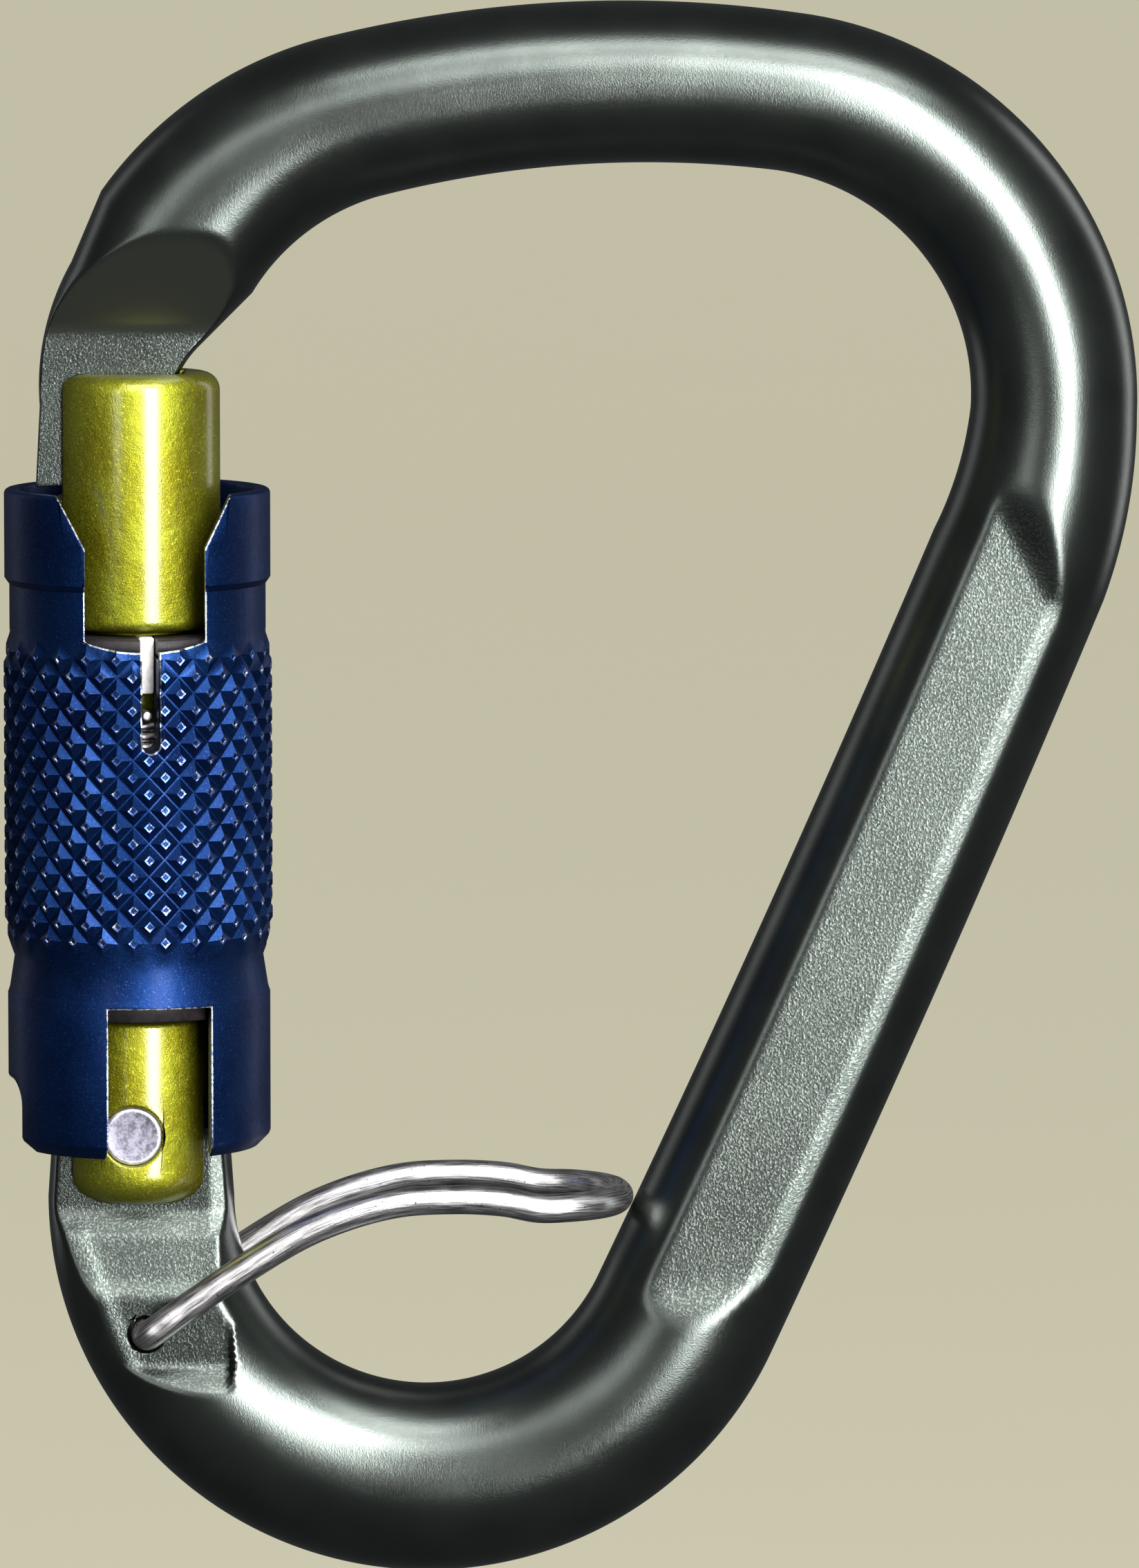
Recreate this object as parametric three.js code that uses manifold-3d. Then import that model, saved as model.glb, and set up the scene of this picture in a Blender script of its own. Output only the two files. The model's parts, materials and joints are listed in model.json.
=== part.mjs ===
// A locking carabiner for belaying: a pear-shaped forged body, a hinged gate with a
// twist-lock sleeve, and a wire keeper that shuts off the narrow end.
// Millimetres, +Z up. The body lies in the XZ plane, gate at -X, spine at +X, front at -Y.
// Inside this file x = 0 is the gate's long axis and z = 0 is the height of its rivet;
// the finished group is moved so that its origin is the top of the rope basket.
import * as THREE from "three";
import { ConvexGeometry } from "three/addons/geometries/ConvexGeometry.js";
import { mergeVertices } from "three/addons/utils/BufferGeometryUtils.js";
import Module from "manifold-3d";

const wasm = await Module();
wasm.setup();

// ---- driving dimensions ----

// Body centreline, from the nose clockwise to the hinge end. Each stretch is a line or an
// arc that turns right, and ends with the given width of the bar in the XZ plane.
const barDepth = 12.2;
const noseStart = { x: -2.3, z: 45.9, heading: 90, width: 10.0 };
const bodyStretches = [
  { line: 6.6, steps: 2, width: 9.3 },
  { radius: 13, turn: 34, steps: 6, width: 11.0 },
  { line: 5.4, steps: 2, width: 13.1 },
  { radius: 22, turn: 42, steps: 7, width: 12.0 },
  { radius: 83.1, turn: 21.5, steps: 6, width: 11.4 },
  { radius: 22.2, turn: 85, steps: 13, width: 12.0 },
  { radius: 32.8, turn: 20, steps: 4, width: 13.3 },
  { radius: 1370, turn: 2.5, steps: 4, width: 13.8 },
  { radius: 20.7, turn: 155, steps: 24, width: 13.5 },
  { line: 5.1, steps: 1, width: 12.8 },
];
const barSides = 24;
const basketTop = { x: 31.5, z: 70.2 };

// Flats on the front and back of the spine: half the thickness left between them, and the
// slanting lines that they end on, as [x, z] pairs.
const flatHalfDepth = 5.1;
const flatTopEnd = [[59.8, 49.5], [67.4, 36.2]];
const flatLowEnd = [[33.4, -11.6], [48.2, -9.8]];
const flatTopRunOut = { x: 2.9, z: 1.7 }; // how far each end leans out as it rises
const flatLowRunOut = { x: 0, z: -2.6 };

// Nose: the bar thins along a sloping scoop to a flat tang that enters the gate.
const tangHalfDepth = 2.5;
const noseFoldZ = 58.0;
const noseScoopZ = 65.3;
const tangEnd = [[-8, 47.05], [4, 48.0]];

// Hinge end: the bar thins past the keeper's seat and a sloping flat to a tang that the
// gate's fork straddles. Each step is [z, half the thickness left].
const hingeSteps = [
  [-18.6, 6.1], [-16.8, 4.8], [-11.8, 4.9], [-10.9, 4.4], [-7.3, 3.5], [-5.8, tangHalfDepth],
  [9, tangHalfDepth],
];
const hingeEdgeX = 7.0;
const heelRadius = 5.4;
const heelRise = 0.0417; // mm of cam height for each degree, which lifts the plunger

// Gate, turned on its own axis.
const gateTopZ = 54.9;
const headRadius = 6.0;
const headLowZ = 36.5;
const stemRadius = 3.7;
const footTopZ = 8.3;
const footRadius = 5.6;
const footLowZ = -5.2;
const tangSlotHalfDepth = 2.8;
const tangSlotEndX = 3.4;
const tangSlotFloorZ = 45.9;
const forkSlotTopZ = 7.2;
const springBoreRadius = 1.95;
const springBoreTopZ = 25;

// Rivet, plunger and the spring behind it.
const pivot = { x: -0.3, z: 0 };
const rivetRadius = 2.1;
const rivetHalfLength = 5.3;
const clearance = 0.3;
const plungerRadius = 1.6;
const plungerLowZ = 6.1;
const plungerTopZ = 12.0;
const plungerShankRadius = 0.8;
const gateSpring = { wire: 0.5, radius: 1.35, lowZ: 12.6, topZ: 24.4, turns: 8 };

// Lock sleeve, turned on the gate's axis.
const sleeveBottomZ = -1.2;
const sleeveTopZ = 46.5;
const skirtRadius = 9.5;
const skirtBore = 8.15;
const skirtShoulderZ = 10.0;
const lowGroove = { radius: 9.2, topZ: 12.6 };
const grip = { radius: 9.7, lowZ: 13.8, topZ: 36.5 };
const highGroove = { radius: 9.25, topZ: 39.7 };
const collarRadius = 9.6;
const collarBore = 8.4;
const collarFloorZ = 34.8;
const sleeveBore = 5.3;
const skirtRoofZ = 11.0;
const sleeveSides = 48;

// Windows in the sleeve. Angles turn from the front towards +X, in degrees.
const notch = {
  angle: 6, halfWidth: 4.3, lowZ: 36.1, dip: 0.7, chamferWide: 1.9, chamferHigh: 3.7,
};
const keySlot = { angle: 8, halfWidth: 0.62, lowZ: 28.2 };
const lowWindow = { angle: 12, halfWidth: 3.75, topZ: 9.7 };
const sideWindow = { angle: -90, halfWidth: 4.5, topZ: 3.9, corner: 1.8 };

// Parts inside the sleeve.
const highBush = { bore: 4.1, radius: 8.1, lowZ: 35.1, topZ: 36.2 };
const lowBush = { bore: 4.1, radius: 7.9, lowZ: 8.6, topZ: 10.7 };
const key = { halfWidth: 0.42, inner: 5.6, outer: 6.4, lowZ: 32.2, topZ: 36.25 };
const lockSpring = { wire: 0.74, radius: 4.4, topZ: 30.4, turns: 7, legReach: 6.6 };

// Wire keeper, through a hole in the body below the gate.
const keeperPivot = { x: 0.6, z: -14.5 };
const keeperWire = 2.1;
const keeperHalfGap = 6.4;
const keeperHoleRadius = 1.35;
const keeperEndY = 1.6;
const keeperLeg = [
  [3.6, -12.3], [7.1, -9.9], [12.8, -6.55], [18.4, -4.75], [23.0, -4.42], [26.5, -4.6],
];
const keeperTip = { x: 34.78, z: -5.05, corner: 5.8 };

// ---- helpers ----

const radians = THREE.MathUtils.degToRad;

// A closed geometry becomes a solid that can be joined and cut.
function solid(geometry) {
  const bare = geometry.clone();
  bare.deleteAttribute("normal");
  bare.deleteAttribute("uv");
  const merged = mergeVertices(bare, 1e-4);
  const corners = merged.index.array;
  const triangles = [];
  for (let i = 0; i < corners.length; i += 3) {
    const [a, b, c] = [corners[i], corners[i + 1], corners[i + 2]];
    if (a !== b && b !== c && a !== c) {
      triangles.push(a, b, c);
    }
  }
  return new wasm.Manifold(new wasm.Mesh({
    numProp: 3,
    vertProperties: new Float32Array(merged.attributes.position.array),
    triVerts: new Uint32Array(triangles),
  }));
}

function geometryOf(body) {
  const mesh = body.getMesh();
  const geometry = new THREE.BufferGeometry();
  geometry.setAttribute("position", new THREE.BufferAttribute(mesh.vertProperties, 3));
  geometry.setIndex(new THREE.BufferAttribute(mesh.triVerts, 1));
  geometry.computeVertexNormals();
  return geometry;
}

// Turns an [r, z] outline about the Z axis. The outline starts and ends on the axis, or
// closes on itself, and runs up the outside.
function turned(outline, sides = sleeveSides) {
  const points = outline.map(([r, z]) => new THREE.Vector2(r, z));
  return new THREE.LatheGeometry(points, sides).rotateX(Math.PI / 2);
}

function outlineShape(points) {
  return new THREE.Shape(points.map(([u, v]) => new THREE.Vector2(u, v)));
}

// An [x, z] shape made into a block from y = low to y = high.
function blockAlongY(shape, low, high, curveSegments = 8) {
  const options = { depth: high - low, bevelEnabled: false, curveSegments };
  const basis = new THREE.Matrix4().makeBasis(
    new THREE.Vector3(1, 0, 0), new THREE.Vector3(0, 0, 1), new THREE.Vector3(0, -1, 0));
  return new THREE.ExtrudeGeometry(shape, options).applyMatrix4(basis).translate(0, high, 0);
}

// A [y, z] shape made into a block from x = low to x = high.
function blockAlongX(shape, low, high) {
  const options = { depth: high - low, bevelEnabled: false };
  const basis = new THREE.Matrix4().makeBasis(
    new THREE.Vector3(0, 1, 0), new THREE.Vector3(0, 0, 1), new THREE.Vector3(1, 0, 0));
  return new THREE.ExtrudeGeometry(shape, options).applyMatrix4(basis).translate(low, 0, 0);
}

function box(low, high) {
  const size = high.map((value, i) => value - low[i]);
  const middle = high.map((value, i) => (value + low[i]) / 2);
  return new THREE.BoxGeometry(...size).translate(...middle);
}

// A round bar along Y, for rivets and their holes.
function barAlongY(radius, halfLength, at, sides = 32) {
  return new THREE.CylinderGeometry(radius, radius, 2 * halfLength, sides).translate(at.x, 0, at.z);
}

// Wire of round section along a curve, with closed ends.
function wire(curve, diameter, steps, sides) {
  const section = new THREE.Shape();
  for (let i = 0; i < sides; i += 1) {
    const angle = 2 * Math.PI * i / sides;
    const [u, v] = [diameter / 2 * Math.cos(angle), diameter / 2 * Math.sin(angle)];
    if (i === 0) {
      section.moveTo(u, v);
    } else {
      section.lineTo(u, v);
    }
  }
  const options = { steps, extrudePath: curve, bevelEnabled: false };
  return new THREE.ExtrudeGeometry(section, options);
}

// Points of a rounded corner about (u, v), between two angles in degrees.
function corner(u, v, radius, from, to, steps = 4) {
  const points = [];
  for (let i = 0; i <= steps; i += 1) {
    const angle = radians(from + (to - from) * i / steps);
    points.push([u + radius * Math.cos(angle), v + radius * Math.sin(angle)]);
  }
  return points;
}

function mirroredInY(points) {
  return points.map(([y, z]) => [-y, z]);
}

function part(name, geometry, color, roughness, metalness) {
  const material = new THREE.MeshStandardMaterial({ color, roughness, metalness });
  const mesh = new THREE.Mesh(geometry, material);
  mesh.name = name;
  return mesh;
}

// ---- body ----

// Stations along the centreline: place, outward direction in the XZ plane, and bar width.
function bodyStations() {
  let { x, z, width } = noseStart;
  let heading = radians(noseStart.heading);
  const stations = [{ x, z, heading, width }];
  for (const stretch of bodyStretches) {
    const start = { x, z, heading, width };
    for (let i = 1; i <= stretch.steps; i += 1) {
      const done = i / stretch.steps;
      width = start.width + (stretch.width - start.width) * done;
      if (stretch.line) {
        x = start.x + stretch.line * done * Math.cos(start.heading);
        z = start.z + stretch.line * done * Math.sin(start.heading);
      } else {
        heading = start.heading - radians(stretch.turn) * done;
        x = start.x - stretch.radius * (Math.sin(heading) - Math.sin(start.heading));
        z = start.z + stretch.radius * (Math.cos(heading) - Math.cos(start.heading));
      }
      stations.push({ x, z, heading, width });
    }
  }
  return stations;
}

// The bar: an oval section carried along the centreline, closed at both ends.
function bar() {
  const stations = bodyStations();
  const positions = [];
  for (const { x, z, heading, width } of stations) {
    const outward = { x: -Math.sin(heading), z: Math.cos(heading) };
    for (let i = 0; i < barSides; i += 1) {
      const angle = 2 * Math.PI * i / barSides;
      const across = width / 2 * Math.cos(angle);
      const depth = barDepth / 2 * Math.sin(angle);
      positions.push(x + across * outward.x, depth, z + across * outward.z);
    }
  }
  const faces = [];
  for (let ring = 0; ring + 1 < stations.length; ring += 1) {
    for (let i = 0; i < barSides; i += 1) {
      const next = (i + 1) % barSides;
      const [a, b] = [ring * barSides + i, ring * barSides + next];
      const [c, d] = [a + barSides, b + barSides];
      faces.push(a, c, b, b, c, d);
    }
  }
  const last = (stations.length - 1) * barSides;
  for (let i = 1; i + 1 < barSides; i += 1) {
    faces.push(0, i, i + 1);
    faces.push(last, last + i + 1, last + i);
  }
  const geometry = new THREE.BufferGeometry();
  geometry.setAttribute("position", new THREE.Float32BufferAttribute(positions, 3));
  geometry.setIndex(faces);
  return geometry;
}

// The tang's end slopes, because the collar's rim rises below it as the gate starts to swing.
function tangEndCut() {
  const [[lowX, lowZ], [highX, highZ]] = tangEnd;
  const underZ = noseStart.z - 1;
  const outline = outlineShape([[lowX, lowZ], [lowX, underZ], [highX, underZ], [highX, highZ]]);
  return blockAlongY(outline, -barDepth, barDepth);
}

// The plate that the gate's fork straddles. Its top is a cam that pushes the plunger up
// as the gate swings in.
function hingeTang() {
  const points = [];
  for (let degrees = -90; degrees <= 90; degrees += 7.5) {
    const radius = heelRadius + heelRise * Math.min(Math.max(degrees, 0), 30);
    const angle = radians(degrees);
    points.push([pivot.x + radius * Math.sin(angle), pivot.z + radius * Math.cos(angle)]);
  }
  points.push([5.5, -4], [-5.5, -4]);
  return blockAlongY(outlineShape(points), -tangHalfDepth, tangHalfDepth);
}

// What is cut from the front of the nose, down to the tang.
function noseCut() {
  const past = barDepth;
  return [
    [-past, noseScoopZ], [-past, noseStart.z - 1], [-tangHalfDepth, noseStart.z - 1],
    [-tangHalfDepth, noseFoldZ], [-barDepth / 2, noseScoopZ],
  ];
}

// What is cut from the front of the hinge end, as [y, z] pairs.
function hingeCut() {
  const past = barDepth;
  const lowZ = hingeSteps[0][0];
  const highZ = hingeSteps[hingeSteps.length - 1][0];
  return [...hingeSteps.map(([z, halfDepth]) => [-halfDepth, z]), [-past, highZ], [-past, lowZ]];
}

// The block above one spine flat. Its ends lean outwards, so that the flat runs out gently.
function spineFlatCut(side) {
  const depth = barDepth / 2 - flatHalfDepth;
  const pastSurface = 1.5;
  const corners = [];
  for (const lift of [0, pastSurface]) {
    const y = side * (flatHalfDepth + lift * depth);
    for (const [x, z] of flatTopEnd) {
      corners.push(new THREE.Vector3(x + flatTopRunOut.x * lift, y, z + flatTopRunOut.z * lift));
    }
    for (const [x, z] of flatLowEnd) {
      corners.push(new THREE.Vector3(x + flatLowRunOut.x * lift, y, z + flatLowRunOut.z * lift));
    }
  }
  return new ConvexGeometry(corners);
}

function frameBody() {
  const past = 20;
  let body = solid(bar()).add(solid(hingeTang())).subtract(solid(tangEndCut()));
  for (const mirror of [(points) => points, mirroredInY]) {
    const nose = outlineShape(mirror(noseCut()));
    const hinge = outlineShape(mirror(hingeCut()));
    body = body.subtract(solid(blockAlongX(nose, -past, past)));
    body = body.subtract(solid(blockAlongX(hinge, -past, hingeEdgeX)));
  }
  for (const side of [-1, 1]) {
    body = body.subtract(solid(spineFlatCut(side)));
  }
  body = body.subtract(solid(barAlongY(rivetRadius + clearance, past, pivot)));
  body = body.subtract(solid(barAlongY(keeperHoleRadius, past, keeperPivot, 20)));
  return geometryOf(body);
}

// ---- gate ----

function gateBarrel() {
  const footRound = 2.3;
  const headRound = 1.3;
  const lipRound = 0.8;
  const outline = [
    [0, footLowZ],
    ...corner(footRadius - footRound, footLowZ + footRound, footRound, -90, 0, 5),
    ...corner(footRadius - 0.4, footTopZ - 0.4, 0.4, 0, 90, 1),
    [stemRadius, footTopZ],
    [stemRadius, headLowZ],
    ...corner(headRadius - lipRound, headLowZ + lipRound, lipRound, -90, 0, 2),
    ...corner(headRadius - headRound, gateTopZ - headRound, headRound, 0, 90),
    [0, gateTopZ],
  ];
  const past = 10;
  let gate = solid(turned(outline, 40));
  const tangSlot = box(
    [-past, -tangSlotHalfDepth, tangSlotFloorZ], [tangSlotEndX, tangSlotHalfDepth, gateTopZ + past]);
  const forkSlot = box([-past, -tangSlotHalfDepth, footLowZ - past], [past, tangSlotHalfDepth, forkSlotTopZ]);
  const bore = new THREE.CylinderGeometry(springBoreRadius, springBoreRadius, springBoreTopZ, 20)
    .rotateX(Math.PI / 2).translate(0, 0, springBoreTopZ / 2);
  gate = gate.subtract(solid(tangSlot)).subtract(solid(forkSlot)).subtract(solid(bore));
  gate = gate.subtract(solid(barAlongY(rivetRadius + clearance, past, pivot)));
  return geometryOf(gate);
}

function gateRivet() {
  return barAlongY(rivetRadius, rivetHalfLength, pivot);
}

// A stepped pin with a domed end that bears on the body's cam.
function gatePlunger() {
  const outline = [
    ...corner(0, plungerLowZ + plungerRadius, plungerRadius, -90, 0),
    [plungerRadius, plungerTopZ],
    [plungerShankRadius, plungerTopZ],
    [plungerShankRadius, plungerTopZ + 4],
    [0, plungerTopZ + 4],
  ];
  return turned(outline, 20);
}

class Helix extends THREE.Curve {
  constructor({ radius, lowZ, topZ, turns }) {
    super();
    Object.assign(this, { radius, lowZ, topZ, turns });
  }

  getPoint(t, target = new THREE.Vector3()) {
    const angle = 2 * Math.PI * this.turns * t;
    const z = this.lowZ + (this.topZ - this.lowZ) * t;
    return target.set(this.radius * Math.cos(angle), this.radius * Math.sin(angle), z);
  }
}

function gateReturnSpring() {
  return wire(new Helix(gateSpring), gateSpring.wire, gateSpring.turns * 10, 5);
}

// ---- lock sleeve ----

// Turns a cutter that was drawn at the front round to its own angle.
function atAngle(geometry, degrees) {
  return geometry.rotateZ(radians(degrees));
}

function notchCut() {
  const { angle, halfWidth, lowZ, dip, chamferWide, chamferHigh } = notch;
  const outline = new THREE.Shape();
  outline.moveTo(-halfWidth, lowZ);
  outline.quadraticCurveTo(0, lowZ - 2 * dip, halfWidth, lowZ);
  outline.lineTo(halfWidth, sleeveTopZ - chamferHigh);
  outline.lineTo(halfWidth + chamferWide, sleeveTopZ);
  outline.lineTo(halfWidth + chamferWide, sleeveTopZ + 1);
  outline.lineTo(-halfWidth - chamferWide, sleeveTopZ + 1);
  outline.lineTo(-halfWidth - chamferWide, sleeveTopZ);
  outline.lineTo(-halfWidth, sleeveTopZ - chamferHigh);
  return atAngle(blockAlongY(outline, -2 * skirtRadius, -collarBore / 2, 6), angle);
}

function keySlotCut(outer) {
  const outline = new THREE.Shape();
  outline.moveTo(-keySlot.halfWidth, notch.lowZ + 0.5);
  outline.lineTo(-keySlot.halfWidth, keySlot.lowZ + keySlot.halfWidth);
  outline.absarc(0, keySlot.lowZ + keySlot.halfWidth, keySlot.halfWidth, Math.PI, 2 * Math.PI);
  outline.lineTo(keySlot.halfWidth, notch.lowZ + 0.5);
  return atAngle(blockAlongY(outline, -outer, -stemRadius, 4), keySlot.angle);
}

function lowWindowCut(degrees) {
  const { halfWidth, topZ } = lowWindow;
  const outline = outlineShape([
    [-halfWidth, sleeveBottomZ - 2], [halfWidth, sleeveBottomZ - 2], [halfWidth, topZ], [-halfWidth, topZ]]);
  return atAngle(blockAlongY(outline, -2 * skirtRadius, -stemRadius), degrees);
}

function sideWindowCut() {
  const { angle, halfWidth, topZ, corner: round } = sideWindow;
  const outline = new THREE.Shape();
  outline.moveTo(-halfWidth, sleeveBottomZ - 2);
  outline.lineTo(halfWidth, sleeveBottomZ - 2);
  outline.lineTo(halfWidth, topZ - round);
  outline.quadraticCurveTo(halfWidth, topZ, halfWidth - round, topZ);
  outline.lineTo(round - halfWidth, topZ);
  outline.quadraticCurveTo(-halfWidth, topZ, -halfWidth, topZ - round);
  return atAngle(blockAlongY(outline, -2 * skirtRadius, -stemRadius, 4), angle);
}

function lockSleeve() {
  const rim = 0.35;
  const skirtBevel = 0.9;
  const outline = [
    [skirtBore, sleeveBottomZ],
    [skirtRadius - skirtBevel, sleeveBottomZ],
    [skirtRadius, sleeveBottomZ + skirtBevel],
    [skirtRadius, skirtShoulderZ],
    [lowGroove.radius, skirtShoulderZ + 0.4],
    [lowGroove.radius, lowGroove.topZ],
    [grip.radius, grip.lowZ],
    [grip.radius, grip.topZ - 0.3],
    [highGroove.radius, grip.topZ],
    [highGroove.radius, highGroove.topZ],
    [collarRadius, highGroove.topZ + 0.4],
    [collarRadius, sleeveTopZ - rim],
    [collarRadius - rim, sleeveTopZ],
    [collarBore, sleeveTopZ],
    [collarBore, collarFloorZ],
    [sleeveBore, collarFloorZ],
    [sleeveBore, skirtRoofZ],
    [skirtBore, skirtRoofZ],
    [skirtBore, sleeveBottomZ],
  ];
  let sleeve = solid(turned(outline));
  sleeve = sleeve.subtract(solid(notchCut()));
  sleeve = sleeve.subtract(solid(keySlotCut(2 * skirtRadius)));
  for (const degrees of [lowWindow.angle, lowWindow.angle + 180]) {
    sleeve = sleeve.subtract(solid(lowWindowCut(degrees)));
  }
  sleeve = sleeve.subtract(solid(sideWindowCut()));
  return geometryOf(sleeve);
}

function ring({ bore, radius, lowZ, topZ }) {
  return turned([[bore, lowZ], [radius, lowZ], [radius, topZ], [bore, topZ], [bore, lowZ]], 40);
}

function upperGuideBush() {
  return geometryOf(solid(ring(highBush)).subtract(solid(keySlotCut(highBush.radius + 1))));
}

function lowerGuideBush() {
  return ring(lowBush);
}

function sleeveKey() {
  const { halfWidth, inner, outer, lowZ, topZ } = key;
  return atAngle(box([-halfWidth, -outer, lowZ], [halfWidth, -inner, topZ]), keySlot.angle);
}

// Close-wound coils whose top end turns outwards into the key slot.
function sleeveReturnSpring() {
  const { wire: diameter, radius, topZ, turns, legReach } = lockSpring;
  const stepsInTurn = 12;
  const legAngle = radians(keySlot.angle - 90);
  const points = [];
  for (let i = 0; i <= turns * stepsInTurn; i += 1) {
    const angle = legAngle + 2 * Math.PI * (i / stepsInTurn - turns);
    const z = topZ - (diameter + 0.02) * (turns - i / stepsInTurn);
    points.push(new THREE.Vector3(radius * Math.cos(angle), radius * Math.sin(angle), z));
  }
  points.pop();
  for (const reach of [radius + diameter / 2, legReach]) {
    points.push(new THREE.Vector3(reach * Math.cos(legAngle), reach * Math.sin(legAngle), topZ + 0.2));
  }
  return wire(new THREE.CatmullRomCurve3(points), diameter, points.length, 6);
}

// ---- wire keeper ----

// The keeper's centreline: in through the hole, out along the front leg, round the tip and
// back along the other leg.
function keeperCurve() {
  const { x: tipX, z: tipZ, corner: round } = keeperTip;
  const gap = keeperHalfGap;
  const front = [
    [keeperPivot.x, -keeperEndY, keeperPivot.z],
    [keeperPivot.x, -gap + 1.4, keeperPivot.z],
    [keeperPivot.x + 0.25, -gap + 0.3, keeperPivot.z + 0.18],
    ...keeperLeg.map(([x, z]) => [x, -gap, z]),
    ...corner(tipX - round, round - gap, round, -90, 0)
      .map(([x, y]) => [x, y, tipZ]),
  ];
  const back = front.map(([x, y, z]) => [x, -y, z]).reverse();
  return new THREE.CatmullRomCurve3(
    [...front, [tipX, 0, tipZ], ...back].map((point) => new THREE.Vector3(...point)), false, "centripetal");
}

function wireKeeper() {
  return wire(keeperCurve(), keeperWire, 84, 12);
}

// ---- assembly ----

const carabiner = new THREE.Group();
carabiner.add(
  part("frame_body", frameBody(), 0x3a423c, 0.45, 0.85),
  part("gate_barrel", gateBarrel(), 0xa9ad1e, 0.35, 0.9),
  part("gate_pivot_rivet", gateRivet(), 0x9a95a2, 0.5, 0.9),
  part("gate_plunger", gatePlunger(), 0x8f9092, 0.35, 1),
  part("gate_return_spring", gateReturnSpring(), 0x8a8b8d, 0.35, 1),
  part("lock_sleeve", lockSleeve(), 0x10246a, 0.4, 0.8),
  part("upper_guide_bush", upperGuideBush(), 0x1c1a20, 0.6, 0),
  part("lower_guide_bush", lowerGuideBush(), 0x1c1a20, 0.6, 0),
  part("sleeve_key", sleeveKey(), 0xb9b7b4, 0.5, 0.6),
  part("sleeve_return_spring", sleeveReturnSpring(), 0x8a8b8d, 0.35, 1),
  part("wire_keeper", wireKeeper(), 0xa09c9c, 0.25, 1),
);
carabiner.position.set(-basketTop.x, 0, -basketTop.z);

export default carabiner;
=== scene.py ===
"""Blender scene of the locking carabiner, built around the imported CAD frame.

Shapes are drawn in millimetres in the gate's own coordinates: x = 0 is the gate's long
axis, z = 0 is the height of its rivet, and the front faces -Y. place() turns them into
the frame's metres.
"""

import json
import math

import bmesh
import bpy
import numpy as np
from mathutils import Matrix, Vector


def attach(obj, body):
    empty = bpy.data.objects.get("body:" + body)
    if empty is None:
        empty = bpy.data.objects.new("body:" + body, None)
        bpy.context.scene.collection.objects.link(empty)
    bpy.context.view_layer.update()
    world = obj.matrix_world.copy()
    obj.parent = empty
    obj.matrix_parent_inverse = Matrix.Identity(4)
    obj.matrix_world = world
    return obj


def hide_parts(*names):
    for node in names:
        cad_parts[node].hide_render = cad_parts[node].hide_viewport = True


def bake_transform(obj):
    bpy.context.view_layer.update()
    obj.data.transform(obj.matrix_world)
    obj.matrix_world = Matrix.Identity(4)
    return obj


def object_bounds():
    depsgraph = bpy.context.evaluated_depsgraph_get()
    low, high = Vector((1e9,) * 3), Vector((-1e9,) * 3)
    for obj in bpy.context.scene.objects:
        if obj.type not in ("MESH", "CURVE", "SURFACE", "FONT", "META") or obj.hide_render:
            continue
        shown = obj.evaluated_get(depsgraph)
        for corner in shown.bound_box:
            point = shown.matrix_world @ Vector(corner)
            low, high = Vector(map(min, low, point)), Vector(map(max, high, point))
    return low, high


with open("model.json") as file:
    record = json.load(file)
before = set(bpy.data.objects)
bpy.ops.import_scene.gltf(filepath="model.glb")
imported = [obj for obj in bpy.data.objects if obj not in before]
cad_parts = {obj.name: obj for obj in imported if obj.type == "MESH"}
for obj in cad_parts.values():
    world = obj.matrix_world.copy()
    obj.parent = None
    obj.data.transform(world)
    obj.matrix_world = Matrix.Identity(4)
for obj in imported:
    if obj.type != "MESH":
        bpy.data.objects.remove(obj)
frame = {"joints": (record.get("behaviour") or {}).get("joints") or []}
bounds_at_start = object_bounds()

MM = 0.001
JOINTS = {joint["name"]: joint for joint in frame["joints"]}
AXIS_X = JOINTS["sleeve_twist"]["pos_m"][0]
RIVET_Z = JOINTS["gate_hinge"]["pos_m"][2]
RIVET_X = (JOINTS["gate_hinge"]["pos_m"][0] - AXIS_X) / MM
KEEPER_X = (JOINTS["keeper_hinge"]["pos_m"][0] - AXIS_X) / MM
KEEPER_Z = (JOINTS["keeper_hinge"]["pos_m"][2] - RIVET_Z) / MM

# ---- driving dimensions, in millimetres and degrees ----

# Body: a bar of oval section along lines and right-hand arcs, from the nose clockwise.
HALF_DEPTH = 6.1
NOSE = {"x": -2.3, "z": 47.1, "heading": 90.0, "width": 9.9}
STRETCHES = [  # (length or radius, turn, width at the end)
    (5.4, 0, 9.3),
    (13.0, 34, 11.0),
    (5.4, 0, 13.1),
    (22.0, 42, 12.0),
    (83.1, 21.5, 11.4),
    (22.2, 85, 12.0),
    (32.8, 20, 13.3),
    (1370.0, 2.5, 13.8),
    (20.7, 155, 13.5),
    (5.1, 0, 12.8),
]
BODY_SIDES = 128
FINE_SPACING = 0.27  # between rings at the shaped ends
PLAIN_SPACING = 0.8  # and along the rest
NOSE_REACH = 45.0  # how far along the bar the nose's shaping can reach
HINGE_REACH = 30.0  # and the hinge end's, measured back from its end
TANG_HALF_DEPTH = 2.5
NOSE_FOLD_Z = 58.0
NOSE_SCOOP_Z = 65.3
TANG_END_SLOPE = 0.079
SPINE_FLAT = 5.1
SPINE_FLAT_TOP = ((59.8, 49.5), (67.4, 36.2))
SPINE_FLAT_LOW = ((33.4, -11.6), (48.2, -9.8))
SPINE_END_SLOPES = (0.42, 0.385)  # past the flats' top line and low line
SPINE_BEVEL = {"across": 2.8, "slope": 0.2}  # where and how the outer side falls away
HINGE_PROFILE = [  # (z, half depth)
    (-26.0, 11.4),
    (-18.6, 6.1),
    (-16.8, 4.7),
    (-11.8, 4.7),
    (-10.8, 4.2),
    (-7.6, 3.4),
    (-5.8, 2.5),
    (9.0, 2.5),
]
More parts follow.
